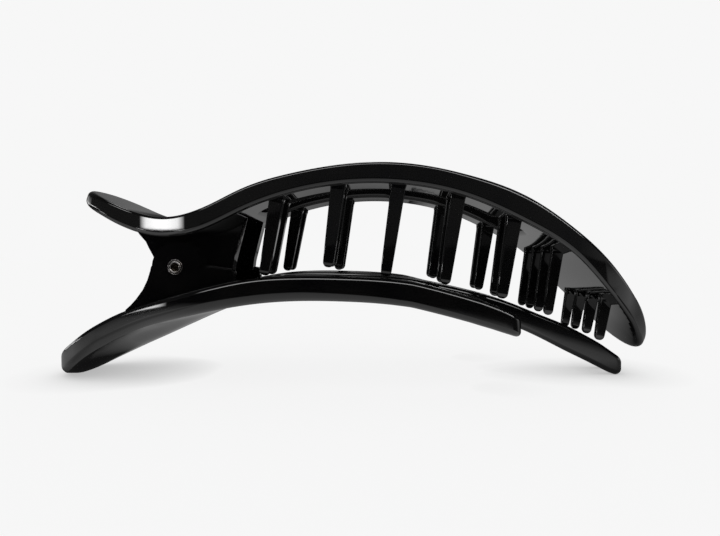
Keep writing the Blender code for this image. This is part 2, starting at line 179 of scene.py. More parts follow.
# softboxes that show in the gloss alone
# each: distance, turn and height of two corners, share of its width that fades at each side, brightness
softboxes = (
    ("leftSoftbox", 1.2, (66, 3.4), (104, 6.2), 0.3, 15.0),
    ("lowSoftbox", 0.25, (62, 0.1), (80, 2.6), 0.3, 12.0),
    ("frontSoftbox", 1.2, (-44, 20), (44, 38), 0.2, 7.0),
    ("backSoftbox", 0.3, (184, 0.1), (202, 6.0), 0.3, 0.7),
    ("rightSoftbox", 1.2, (308, 22), (332, 40), 0.3, 24.0),
    # the black flag is an unlit card: a painted dark reflection on the lugs
    ("blackFlag", 1.2, (7, 0.05), (27, 3.8), 0.3, 0.0),
    ("topSoftbox", 1.2, (145, 60), (190, 80), 0.3, 6.0),
)


def meshObject(name, vertices, faces, material):
    mesh = bpy.data.meshes.new(name)
    mesh.from_pydata(vertices, [], faces)
    mesh.materials.append(material)
    made = bpy.data.objects.new(name, mesh)
    scene.collection.objects.link(made)
    return made


def addMath(tree, operation, *values):
    node = tree.nodes.new("ShaderNodeMath")
    node.operation = operation
    for socket, value in zip(node.inputs, values):
        if isinstance(value, (int, float)):
            socket.default_value = value
        else:
            tree.links.new(value, socket)
    return node.outputs["Value"]


def addDistance(tree, x, y, atX, atY):
    across = addMath(tree, "POWER", addMath(tree, "SUBTRACT", x, atX), 2.0)
    away = addMath(tree, "POWER", addMath(tree, "SUBTRACT", y, atY), 2.0)
    return addMath(tree, "SQRT", addMath(tree, "ADD", across, away))


def addNoise(tree, scale, detail, stretch=(1.0, 1.0, 1.0)):
    where = tree.nodes.new("ShaderNodeTexCoord")
    mapping = tree.nodes.new("ShaderNodeMapping")
    mapping.inputs["Scale"].default_value = stretch
    noise = tree.nodes.new("ShaderNodeTexNoise")
    noise.inputs["Scale"].default_value = scale
    noise.inputs["Detail"].default_value = detail
    tree.links.new(where.outputs["Object"], mapping.inputs["Vector"])
    tree.links.new(mapping.outputs["Vector"], noise.inputs["Vector"])
    return noise.outputs["Fac"]


def addRange(tree, source, low, high, start=0.3, end=0.7):
    node = tree.nodes.new("ShaderNodeMapRange")
    node.inputs["From Min"].default_value = start
    node.inputs["From Max"].default_value = end
    node.inputs["To Min"].default_value = low
    node.inputs["To Max"].default_value = high
    tree.links.new(source, node.inputs["Value"])
    return node.outputs["Result"]


def addMix(tree, factor, first, second):
    node = tree.nodes.new("ShaderNodeMix")
    node.data_type = "RGBA"
    tree.links.new(factor, node.inputs["Factor"])
    for socket, colour in ((node.inputs["A"], first), (node.inputs["B"], second)):
        if isinstance(colour, tuple):
            socket.default_value = (*colour, 1.0)
        else:
            tree.links.new(colour, socket)
    return node.outputs["Result"]


def addBump(tree, height, depth, before=None):
    node = tree.nodes.new("ShaderNodeBump")
    node.inputs["Distance"].default_value = depth
    tree.links.new(height, node.inputs["Height"])
    if before:
        tree.links.new(before, node.inputs["Normal"])
    return node.outputs["Normal"]


def addCurve(tree, source, points):
    low, high = points[0][0], points[-1][0]
    share = addMath(tree, "DIVIDE", addMath(tree, "SUBTRACT", source, low), high - low)
    ramp = tree.nodes.new("ShaderNodeValToRGB")
    tones = ramp.color_ramp.elements
    while len(tones) < len(points):
        tones.new(0.5)
    for tone, (place, value) in zip(tones, points):
        tone.position = (place - low) / (high - low)
    for tone, (place, value) in zip(tones, points):
        tone.color = (value / 2, value / 2, value / 2, 1.0)
    tree.links.new(share, ramp.inputs["Fac"])
    return addMath(tree, "MULTIPLY", ramp.outputs["Color"], 2.0)


def glowMaterial(name):
    material = bpy.data.materials.new(name)
    material.use_nodes = True
    material.cycles.emission_sampling = "NONE"
    tree = material.node_tree
    tree.nodes.clear()
    glow = tree.nodes.new("ShaderNodeEmission")
    leave = tree.nodes.new("ShaderNodeOutputMaterial")
    tree.links.new(glow.outputs["Emission"], leave.inputs["Surface"])
    return material, tree, glow.inputs["Strength"]


def placeOutputs(tree):
    where = tree.nodes.new("ShaderNodeTexCoord")
    split = tree.nodes.new("ShaderNodeSeparateXYZ")
    tree.links.new(where.outputs["Object"], split.inputs["Vector"])
    return split.outputs["X"], split.outputs["Y"], split.outputs["Z"]


def roomMaterial():
    material, tree, strength = glowMaterial("studioRoom")
    x, y, z = placeOutputs(tree)
    left = addMath(tree, "MULTIPLY", x, -1.0)
    front = addMath(tree, "MULTIPLY", y, -1.0)
    turn = addMath(tree, "DEGREES", addMath(tree, "ARCTAN2", left, front))
    turn = addMath(tree, "FLOORED_MODULO", turn, 360.0)
    low = addCurve(tree, turn, lowTones)
    high = addCurve(tree, turn, highTones)
    height = addMath(tree, "DIVIDE", z, studio["roomRadius"])
    low = addMath(tree, "MULTIPLY", low, addCurve(tree, height, lowReach))
    high = addMath(tree, "MULTIPLY", high, addCurve(tree, height, highReach))
    tree.links.new(addMath(tree, "ADD", low, high), strength)
    return material


def mirroredTableMaterial():
    material, tree, strength = glowMaterial("mirroredTable")
    x, y, _ = placeOutputs(tree)
    tone = addMath(tree, "MULTIPLY", addCurve(tree, x, tableAcross), addCurve(tree, y, tableAway))
    # painted contact shade: darker around each place where the clip touches the table
    for atX, atY, near, far in paintedContactShade:
        distance = addDistance(tree, x, y, atX, atY)
        tone = addMath(tree, "MULTIPLY", tone, addRange(tree, distance, contactShadeTone, 1.0, near, far))
    nearEnough = addRange(tree, y, 0.0, 1.0, *tableFront)
    front = addMath(tree, "MAXIMUM", nearEnough, addRange(tree, x, 0.0, 1.0, *tableRight))
    # painted shade band between the two slanted edges
    pastLeft = addMath(tree, "SUBTRACT", x, addMath(tree, "MULTIPLY", y, paintedShadeBand["leftSlant"]))
    pastRight = addMath(tree, "ADD", x, addMath(tree, "MULTIPLY", y, paintedShadeBand["rightSlant"]))
    begun = addRange(tree, pastLeft, 0.0, paintedShadeBand["strength"], *paintedShadeBand["leftEdge"])
    dark = addMath(tree, "MULTIPLY", begun, addRange(tree, pastRight, 1.0, 0.0, *paintedShadeBand["rightEdge"]))
    tone = addMath(tree, "MULTIPLY", tone, addMath(tree, "SUBTRACT", 1.0, dark))
    tree.links.new(addMath(tree, "MULTIPLY", tone, front), strength)
    return material


def floorMaterial():
    material = bpy.data.materials.new("paleTable")
    material.use_nodes = True
    tree = material.node_tree
    shader = tree.nodes["Principled BSDF"]
    tone = studio["floorDiffuse"]
    shader.inputs["Base Color"].default_value = (tone, tone, tone, 1.0)
    shader.inputs["Roughness"].default_value = studio["floorRoughness"]
    shader.inputs["Specular IOR Level"].default_value = 0.0
    shader.inputs["Emission Color"].default_value = (1.0, 1.0, 1.0, 1.0)
    # painted contact shade: the floor's glow dims where the clip stands close above it, read from ambient
    # occlusion
    shade = tree.nodes.new("ShaderNodeAmbientOcclusion")
    shade.samples = 16
    shade.inputs["Distance"].default_value = studio["shadeReach"]
    glow = addRange(tree, shade.outputs["AO"], *studio["floorGlow"], *studio["floorOpen"])
    tree.links.new(glow, shader.inputs["Emission Strength"])
    return material


def onlyMirrored(item):
    item.visible_camera = False
    item.visible_diffuse = False
    item.visible_shadow = False
    item.visible_transmission = False
    item.visible_volume_scatter = False


def directionPoint(turn, height, distance):
    turn, height = math.radians(turn), math.radians(height)
    flat = distance * math.cos(height)
    return (-flat * math.sin(turn), -flat * math.cos(turn), distance * math.sin(height))


def softboxObject(name, distance, start, end, fade, brightness, columns=16, rows=10):
    points, glows, faces = [], [], []
    for upShare in np.linspace(0, 1, rows + 1):
        for alongShare in np.linspace(0, 1, columns + 1):
            turn = start[0] + (end[0] - start[0]) * alongShare
            height = start[1] + (end[1] - start[1]) * upShare
            points.append(directionPoint(turn, height, distance))
            sides = min(min(alongShare, 1 - alongShare) / fade, 1.0)
            ends = min(min(upShare, 1 - upShare) / studio["softEnds"], 1.0)
            glows.append(sides * ends)
    for row in range(rows):
        for column in range(columns):
            corner = row * (columns + 1) + column
            faces.append((corner, corner + 1, corner + columns + 2, corner + columns + 1))
    material, tree, strength = glowMaterial(name)
    glow = tree.nodes.new("ShaderNodeAttribute")
    glow.attribute_name = "glow"
    tree.links.new(addMath(tree, "MULTIPLY", glow.outputs["Fac"], brightness), strength)
    softbox = meshObject(name, points, faces, material)
    softbox.data.attributes.new("glow", "FLOAT", "POINT").data.foreach_set("value", glows)
    return softbox


def buildStudio():
    size = studio["floorSize"]
    corners = ((-size, -size, 0.0), (size, -size, 0.0), (size, size, 0.0), (-size, size, 0.0))
    floor = meshObject("floor", corners, [(0, 1, 2, 3)], floorMaterial())
    floor.visible_glossy = False
    # the table's reflection is painted on a glowing sheet just under the floor that shows in the gloss
    # alone
    low = [(x, y, -studio["mirrorDrop"]) for x, y, _ in corners]
    onlyMirrored(meshObject("mirroredTable", low, [(0, 1, 2, 3)], mirroredTableMaterial()))
    shell = bmesh.new()
    around, upwards = studio["roomRings"]
    bmesh.ops.create_uvsphere(shell, u_segments=around, v_segments=upwards, radius=studio["roomRadius"])
    mesh = bpy.data.meshes.new("studioRoom")
    shell.to_mesh(mesh)
    shell.free()
    mesh.materials.append(roomMaterial())
    room = bpy.data.objects.new("studioRoom", mesh)
    scene.collection.objects.link(room)
    onlyMirrored(room)
    for softbox in softboxes:
        onlyMirrored(softboxObject(*softbox))
    world = bpy.data.worlds.new("studioWalls")
    scene.world = world
    world.use_nodes = True
    background = world.node_tree.nodes["Background"]
    background.inputs["Color"].default_value = (1.0, 1.0, 1.0, 1.0)
    background.inputs["Strength"].default_value = studio["wall"]
    scene.view_settings.view_transform = "Standard"
    scene.view_settings.look = "None"


placeCamera(photoCamera)
buildStudio()
print("camera and studio ready")

# materials

plastic = {
    "colour": (0.0013, 0.0013, 0.0016),
    "cloud": (0.0032, 0.0031, 0.003),
    "cloudScale": 90.0,
    "handlingScale": 360.0,
    "handlingStretch": (1.0, 1.0, 2.2),
    "gloss": (0.03, 0.06),
    "ior": 1.5,
    "waveScale": 75.0,
    "waveDepth": 0.000025,
    "peelScale": 1300.0,
    "peelDepth": 0.0000006,
}
steel = {
    "colour": (0.24, 0.235, 0.235),
    "tarnish": (0.1, 0.088, 0.078),
    "tarnishScale": 700.0,
    "gloss": (0.16, 0.34),
    "scratchScale": 1800.0,
    "scratchStretch": (1.0, 0.12, 1.0),
    "scratchDepth": 0.000006,
    "boreShadeColour": (0.03, 0.024, 0.018),
    "boreAxis": (-0.03575, 0.0252),  # along the clip and up, in metres
    # distance from the axis, share of bare steel colour: none in the bore and in the groove between the
    # rolls, which take painted shade
    "unshadedShare": (
        (0.0, 0.0),
        (0.00076, 0.0),
        (0.00086, 1.0),
        (0.0013, 1.0),
        (0.00134, 0.0),
        (0.00145, 0.0),
        (0.0015, 1.0),
    ),
}


def newMaterial(name):
    material = bpy.data.materials.new(name)
    material.use_nodes = True
    return material, material.node_tree, material.node_tree.nodes["Principled BSDF"]


def plasticMaterial():
    material, tree, shader = newMaterial("polishedBlackPlastic")
    cloud = addRange(tree, addNoise(tree, plastic["cloudScale"], 4.0), 0.0, 1.0)
    tree.links.new(addMix(tree, cloud, plastic["colour"], plastic["cloud"]), shader.inputs["Base Color"])
    handling = addNoise(tree, plastic["handlingScale"], 6.0, plastic["handlingStretch"])
    tree.links.new(addRange(tree, handling, *plastic["gloss"]), shader.inputs["Roughness"])
    wave = addBump(tree, addNoise(tree, plastic["waveScale"], 1.0), plastic["waveDepth"])
    peel = addBump(tree, addNoise(tree, plastic["peelScale"], 3.0), plastic["peelDepth"], wave)
    tree.links.new(peel, shader.inputs["Normal"])
    shader.inputs["IOR"].default_value = plastic["ior"]
    return material


def steelMaterial():
    material, tree, shader = newMaterial("drawnSteel")
    x, _, z = placeOutputs(tree)
    # painted shade in the bore and in the groove between the rolls
    unshadedShare = addCurve(tree, addDistance(tree, x, z, *steel["boreAxis"]), steel["unshadedShare"])
    tarnish = addRange(tree, addNoise(tree, steel["tarnishScale"], 5.0), 0.0, 1.0)
    bare = addMix(tree, tarnish, steel["colour"], steel["tarnish"])
    tree.links.new(addMix(tree, unshadedShare, steel["boreShadeColour"], bare), shader.inputs["Base Color"])
    scratches = addNoise(tree, steel["scratchScale"], 4.0, steel["scratchStretch"])
    tree.links.new(addRange(tree, scratches, *steel["gloss"]), shader.inputs["Roughness"])
    tree.links.new(addBump(tree, scratches, steel["scratchDepth"]), shader.inputs["Normal"])
    shader.inputs["Metallic"].default_value = 1.0
    return material


blackPlastic = plasticMaterial()
brightSteel = steelMaterial()
print("materials ready")

# plates

clip = {
    "halfWidth": 20.5,
    "neckEnd": -27.8,
    "stationStep": 1.25,
    "arcSteps": 28,
    "edgeSteps": 7,
    "near": 0.01,  # how close two places are the same
    "weld": 0.000002,  # metres
    "sharpAngle": 20,
}

# each section: place along the clip, outer height, inner height, shift of the inner side's end
# each edge row: place along the clip, radius outside, radius along the gaps, degrees cut off the arc
upperJaw = {
    "tabEnd": -59.35,
    "tabHalf": 11.5,
    "tabSquareness": 2.5,
    "neckStart": -47.8,
    "tipCentre": 47.25,
    "slotStart": -18.6,
    "slotEnd": 39.4,
    "slotHalf": 9.2,
    "slotCorner": 2.5,
    "topEdge": (
        (-59.35, 1.3, 0.5, 0.0),
        (-50.0, 0.6, 0.5, 0.0),
        (20.0, 0.5, 0.5, 0.0),
        (36.0, 0.9, 0.5, 0.0),
        (67.75, 1.1, 1.1, 0.0),
    ),
    "bottomEdge": (
        (-59.35, 1.4, 1.1, 0.0),
        (-50.0, 1.1, 1.1, 0.0),
        (56.0, 1.1, 1.1, 0.0),
        (67.75, 1.7, 1.7, 0.0),
    ),
    "sections": (
        (-59.35, 43.4, 40.0, -1.4),
        (-53.6, 40.7, 36.8, -0.5),
        (-48.6, 38.35, 34.05, 0.0),
        (-42.1, 36.4, 32.1, 0.0),
        (-36.1, 35.8, 31.65, 0.0),
        (-28.6, 37.1, 32.7, 0.0),
        (-20.6, 40.8, 36.25, 0.0),
        (-9.5, 44.1, 40.05, 0.0),
        (2.5, 45.85, 41.75, 0.0),
        (14.5, 45.55, 41.25, 0.0),
        (26.5, 42.95, 38.35, 0.0),
        (38.4, 38.2, 32.7, 0.0),
        (46.65, 32.35, 27.25, 0.0),
        (54.8, 24.85, 18.8, -0.2),
        (60.75, 18.05, 12.75, -0.8),
        (64.05, 13.9, 9.2, -1.5),
        (67.75, 7.6, 4.7, -1.6),
    ),
}

# each section: place along the clip, outer height, inner height, how far the middle bows down
# each drop: place along the clip, how far the outer prongs' top and underside lie under the inner ones'
lowerJaw = {
    "tabEnd": -67.3,
    "tabHalf": 13.0,
    "tabSquareness": 2.0,
    "neckStart": -54.0,
    "outerProngInner": 15.4,
    "innerProngOuter": 5.3,
    "innerProngInner": 1.7,
    "gapStart": -15.75,
    "outerProngEnd": 36.2,
    "innerProngEnd": 62.15,
    "tipCorner": 2.0,  # corners of the outer prongs and of the gaps beside them
    "innerTipCorner": 1.75,
    "middleGapCorner": 1.6,
    "bellyEnd": -22.9,
    "bellyFullness": 1.25,
    "bellyStations": (-12.0, 12.1, 1.5),
    "topEdge": (
        (-67.3, 1.0, 0.9, 0.0),
        (-61.0, 0.9, 0.9, 0.0),
        (62.15, 0.9, 0.9, 0.0),
    ),
    "bottomEdge": (
        (-67.3, 2.0, 1.3, 25.0),
        (-61.0, 2.3, 1.3, 35.0),
        (-50.0, 2.5, 1.3, 35.0),
        (-35.0, 2.3, 1.3, 25.0),
        (-20.0, 2.0, 1.3, 0.0),
        (-8.0, 2.0, 1.3, 0.0),
        (12.0, 1.35, 1.3, 0.0),
        (62.15, 1.3, 1.3, 0.0),
    ),
    "sections": (
        (-67.3, 0.5, 4.3, 0.3),
        (-65.05, 0.85, 6.0, 0.8),
        (-62.05, 2.3, 7.75, 1.95),
        (-58.65, 4.65, 9.95, 2.85),
        (-54.2, 7.4, 12.65, 3.5),
        (-49.3, 9.9, 15.0, 3.75),
        (-43.8, 12.1, 16.85, 3.55),
        (-35.95, 14.25, 18.9, 2.2),
        (-27.95, 15.9, 20.9, 0.6),
        (-18.8, 17.4, 22.75, 0.0),
        (-9.8, 18.05, 23.35, 0.0),
        (0.2, 17.95, 23.2, 0.0),
        (10.2, 17.25, 22.55, 0.0),
        (20.2, 15.7, 20.95, 0.0),
        (28.2, 14.1, 19.1, 0.0),
        (36.2, 11.7, 16.75, 0.0),
        (44.15, 8.2, 13.5, 0.0),
        (49.2, 5.55, 11.4, 0.0),
        (54.2, 3.05, 8.8, 0.0),
        (57.95, 1.1, 6.55, 0.0),
        (59.75, 0.25, 5.25, 0.0),
        (62.15, -0.25, 3.6, 0.0),
    ),
    "drops": (
        (14.2, 0.0, 0.0),
        (20.2, 0.45, 0.5),
        (28.2, 1.0, 1.2),
        (32.2, 1.5, 1.4),
        (36.2, 2.3, 1.4),
    ),
}


def curveThrough(rows, column):
    places = np.array([row[0] for row in rows])
    values = np.array([row[column] for row in rows])
    count = len(places)
    steps = np.diff(places)
    slopes = np.diff(values) / steps
    matrix = np.eye(count)
    right = np.zeros(count)
    for i in range(1, count - 1):
        matrix[i, i - 1 : i + 2] = steps[i - 1], 2 * (steps[i - 1] + steps[i]), steps[i]
        right[i] = 6 * (slopes[i] - slopes[i - 1])
    bend = np.linalg.solve(matrix, right)

    def height(place):
        i = int(np.clip(np.searchsorted(places, place) - 1, 0, count - 2))
        step = steps[i]
        before = place - places[i]
        after = places[i + 1] - place
        curved = (bend[i] * after**3 + bend[i + 1] * before**3) / (6 * step)
        start = (values[i] / step - bend[i] * step / 6) * after
        end = (values[i + 1] / step - bend[i + 1] * step / 6) * before
        return float(curved + start + end)

    return height


upperOuter = curveThrough(upperJaw["sections"], 1)
upperInner = curveThrough(upperJaw["sections"], 2)
lowerOuter = curveThrough(lowerJaw["sections"], 1)
lowerInner = curveThrough(lowerJaw["sections"], 2)
lowerBelly = curveThrough(lowerJaw["sections"], 3)


def straightThrough(rows, column, place):
    return float(np.interp(place, [row[0] for row in rows], [row[column] for row in rows]))


def neckHalfWidth(place, jaw):
    share = (place - jaw["neckStart"]) / (clip["neckEnd"] - jaw["neckStart"])
    share = min(max(share, 0.0), 1.0)
    return jaw["tabHalf"] + (clip["halfWidth"] - jaw["tabHalf"]) * share * share * (3 - 2 * share)


def tabSide(jaw):
    half = jaw["tabHalf"]
    centre = jaw["tabEnd"] + half
    power = 2 / jaw["tabSquareness"]
    side = []
    for angle in np.linspace(0, math.pi / 2, clip["arcSteps"]):
        x = centre - half * max(math.cos(angle), 0.0) ** power
        side.append((x, half * math.sin(angle) ** power))
    for place in np.linspace(max(jaw["neckStart"], centre + 1.0), clip["neckEnd"], clip["arcSteps"]):
        side.append((float(place), neckHalfWidth(place, jaw)))
    return side


def mirrored(side):
    return side + [(x, -y) for x, y in reversed(side) if abs(y) > 1e-6]


def roundedCorner(corner, before, after, radius, steps=8):
    corner, before, after = (np.array(point, float) for point in (corner, before, after))
    toBefore = (before - corner) / np.linalg.norm(before - corner)
    toAfter = (after - corner) / np.linalg.norm(after - corner)
    centre = corner + radius * (toBefore + toAfter)
    points = []
    for angle in np.linspace(0, math.pi / 2, steps):
        point = centre - radius * (toAfter * math.cos(angle) + toBefore * math.sin(angle))
        points.append((float(point[0]), float(point[1])))
    return points


def upperOutline():
    side = tabSide(upperJaw)
    half = clip["halfWidth"]
    for angle in np.linspace(0, math.pi / 2, 2 * clip["arcSteps"]):
        side.append((upperJaw["tipCentre"] + half * math.sin(angle), half * math.cos(angle)))
    return mirrored(side)


def slotOutline():
    start, end, half = upperJaw["slotStart"], upperJaw["slotEnd"], upperJaw["slotHalf"]
    corners = ((start, -half), (end, -half), (end, half), (start, half))
    points = []
    for i, corner in enumerate(corners):
        points += roundedCorner(corner, corners[i - 1], corners[(i + 1) % 4], upperJaw["slotCorner"])
    return points


def lowerOutline():
    side = tabSide(lowerJaw)
    corners = (
        (lowerJaw["outerProngEnd"], clip["halfWidth"], lowerJaw["tipCorner"]),
        (lowerJaw["outerProngEnd"], lowerJaw["outerProngInner"], lowerJaw["tipCorner"]),
        (lowerJaw["gapStart"], lowerJaw["outerProngInner"], lowerJaw["tipCorner"]),
        (lowerJaw["gapStart"], lowerJaw["innerProngOuter"], lowerJaw["tipCorner"]),
        (lowerJaw["innerProngEnd"], lowerJaw["innerProngOuter"], lowerJaw["innerTipCorner"]),
        (lowerJaw["innerProngEnd"], lowerJaw["innerProngInner"], lowerJaw["innerTipCorner"]),
        (lowerJaw["gapStart"], lowerJaw["innerProngInner"], lowerJaw["middleGapCorner"]),
        (lowerJaw["gapStart"], -lowerJaw["innerProngInner"], lowerJaw["middleGapCorner"]),
    )
    points = [side[-1]] + [(x, y) for x, y, _ in corners]
    for i, (x, y, radius) in enumerate(corners[:-1]):
        side += roundedCorner((x, y), points[i], points[i + 2], radius)
    return mirrored(side)


def movedIn(outline, distances):
    points = np.array(outline)
    ahead = np.roll(points, -1, axis=0) - points
    ahead /= np.linalg.norm(ahead, axis=1)[:, None]
    right = np.stack([ahead[:, 1], -ahead[:, 0]], axis=1)
    both = right + np.roll(right, 1, axis=0)
    scale = 2.0 / np.maximum((both**2).sum(axis=1), 1.0)
    return points + both * (scale * distances)[:, None]


def spreadOut(outline, step):
    points = []
    for start, end in zip(outline, outline[1:] + outline[:1]):
        pieces = max(1, math.ceil(math.dist(start, end) / step))
        for i in range(pieces):
            share = i / pieces
            points.append((start[0] + (end[0] - start[0]) * share, start[1] + (end[1] - start[1]) * share))
    return points


flatLevel = 10.0  # the plate's half thickness before it takes its real heights


def alongGap(x, y):
    near = clip["near"]
    return lowerJaw["gapStart"] - near < x and abs(y) < lowerJaw["outerProngInner"] + near


def edgeRing(outline, edge, share):
    radius = np.array([straightThrough(edge, 2 if alongGap(x, y) else 1, x) for x, y in outline])
    crease = np.radians([straightThrough(edge, 3, x) for x, _ in outline])
    angle = crease + (math.pi / 2 - crease) * share
    return radius * (1 - np.sin(angle)), radius * (np.cos(crease) - np.cos(angle))


def plateShell(outlines, jaw, topOf, bottomOf, cuts):
    shell = bmesh.new()
    shares = np.linspace(0, 1, clip["edgeSteps"] + 1)
    rings = [(jaw["topEdge"], share, 1) for share in shares]
    rings += [(jaw["bottomEdge"], share, -1) for share in shares[::-1]]
    capEdges = {0: [], len(rings) - 1: []}
    for outline in outlines:
        outline = spreadOut(outline, clip["stationStep"])
        rows = []
        for edge, share, side in rings:
            inwards, offset = edgeRing(outline, edge, share)
            heights = side * (flatLevel - offset)
            rows.append([shell.verts.new((*p, z)) for p, z in zip(movedIn(outline, inwards), heights)])
        for upper, lower in zip(rows, rows[1:]):
            for i in range(len(outline)):
                shell.faces.new((upper[i - 1], upper[i], lower[i], lower[i - 1]))
        for place, edges in capEdges.items():
            row = rows[place]
            edges += [shell.edges.get((row[i - 1], row[i])) for i in range(len(outline))]
    for edges in capEdges.values():
        bmesh.ops.triangle_fill(shell, use_beauty=True, use_dissolve=False, edges=edges)
    for axis, place, farEnd in cuts:
        # the flat faces on top and underneath, with those too thin to have a direction
        caps = [f for f in shell.faces if abs(f.normal.z) > 0.9 or f.normal.length < 0.5]
        faces = [f for f in caps if f.calc_center_median().x < farEnd]
        around = {item for face in faces for item in (*face.verts, *face.edges)}
        direction = (1, 0, 0) if axis == 0 else (0, 1, 0)
        point = tuple(place * share for share in direction)
        bmesh.ops.bisect_plane(
            shell, geom=faces + list(around), dist=clip["near"], plane_co=point, plane_no=direction
        )
    for vert in shell.verts:
        x, y, height = vert.co
        if height > 0:
            vert.co = topOf(x, y, height - flatLevel)
        else:
            vert.co = bottomOf(x, y, height + flatLevel)
    bmesh.ops.recalc_face_normals(shell, faces=shell.faces[:])
    return shell


def stationCuts(start, end):
    step = clip["stationStep"]
    return [(0, float(place), math.inf) for place in np.arange(start + step, end, step)]


def shellObject(name, shell, material):
    bmesh.ops.recalc_face_normals(shell, faces=shell.faces[:])
    bmesh.ops.scale(shell, vec=(millimetre,) * 3, verts=shell.verts[:])
    mesh = bpy.data.meshes.new(name)
    shell.to_mesh(mesh)
    shell.free()
    mesh.materials.append(material)
    made = bpy.data.objects.new(name, mesh)
    scene.collection.objects.link(made)
    return made


def upperPlate():
    def leaning(x, height):
        outer, inner = upperOuter(x), upperInner(x)
        return x + straightThrough(upperJaw["sections"], 3, x) * (outer - height) / (outer - inner)

    def topOf(x, y, depth):
        height = upperOuter(x) + depth
        return leaning(x, height), y, height

    def bottomOf(x, y, rise):
        height = upperInner(x) + rise
        return leaning(x, height), y, height

    cuts = stationCuts(upperJaw["tabEnd"], upperJaw["tipCentre"] + clip["halfWidth"])
    shell = plateShell([upperOutline(), slotOutline()], upperJaw, topOf, bottomOf, cuts)
    return shellObject("upperPlate", shell, blackPlastic)


leastShare = 0.0001  # keeps the tab's very end from having no width


def bellyDepth(x, y):
    if x > lowerJaw["bellyEnd"]:
        return 0.0
    half = neckHalfWidth(x, lowerJaw)
    before = (lowerJaw["tabEnd"] + lowerJaw["tabHalf"] - x) / lowerJaw["tabHalf"]
    half *= math.sqrt(max(1 - max(before, 0.0) ** 2, leastShare))
    inside = min(max(1 - abs(y) / half, 0.0) * lowerJaw["bellyFullness"], 1.0)
    return max(lowerBelly(x), 0.0) * inside * inside * (3 - 2 * inside)


def lowerPlate():
    gapMiddle = (lowerJaw["outerProngInner"] + lowerJaw["innerProngOuter"]) / 2

    def dropOf(x, y, column):
        return straightThrough(lowerJaw["drops"], column, x) if abs(y) > gapMiddle else 0.0

    def topOf(x, y, depth):
        return x, y, lowerInner(x) - dropOf(x, y, 1) + depth

    def bottomOf(x, y, rise):
        return x, y, max(lowerOuter(x) - dropOf(x, y, 2) - bellyDepth(x, y), 0.0) + rise

    cuts = stationCuts(lowerJaw["tabEnd"], lowerJaw["innerProngEnd"])
    for place in np.arange(*lowerJaw["bellyStations"]):
        cuts.append((1, float(place), lowerJaw["bellyEnd"]))
    shell = plateShell([lowerOutline()], lowerJaw, topOf, bottomOf, cuts)
    return shellObject("lowerPlate", shell, blackPlastic)


# teeth, swept along a line each

# each row: root place, tip place, tip heights from the near side to the far side
teeth = {
    "sideRows": (
        (-13.1, -15.95, (23.4, 23.4, 23.6, 23.6)),
        (-0.5, -2.8, (24.95, 24.95, 23.7, 23.7)),
        (11.8, 9.0, (23.1, 23.1, 23.2, 23.2)),
        (23.8, 21.0, (21.3, 21.3, 21.4, 21.4)),
        (35.0, 32.45, (18.35, 18.35, 18.4, 18.4)),
    ),
    "endRows": (
        (45.6, 43.5, (14.3, 14.3, 14.3, 14.3)),
        (55.75, 54.25, (8.9, 9.3, 9.3, 8.9)),
    ),
    "sideAcross": (-17.9, -10.75, 10.75, 17.9),
    "endAcross": (-11.5, -3.85, 3.85, 11.5),
    "sideWidths": (3.0, 2.2),
    "endWidths": (2.4, 1.9),
    "corner": 0.22,  # share of a tooth's half width
    "thickness": 0.7,  # across the clip, share of the width along it
    "rootDepth": 1.2,
    "tipRound": 1.1,
    "tipFlat": 0.12,
    "rootFlare": 0.12,
    "flareLength": 0.8,
    "rings": (7, 5, 7),  # along the flare, the shank and the tip
    "cornerSteps": 6,
}


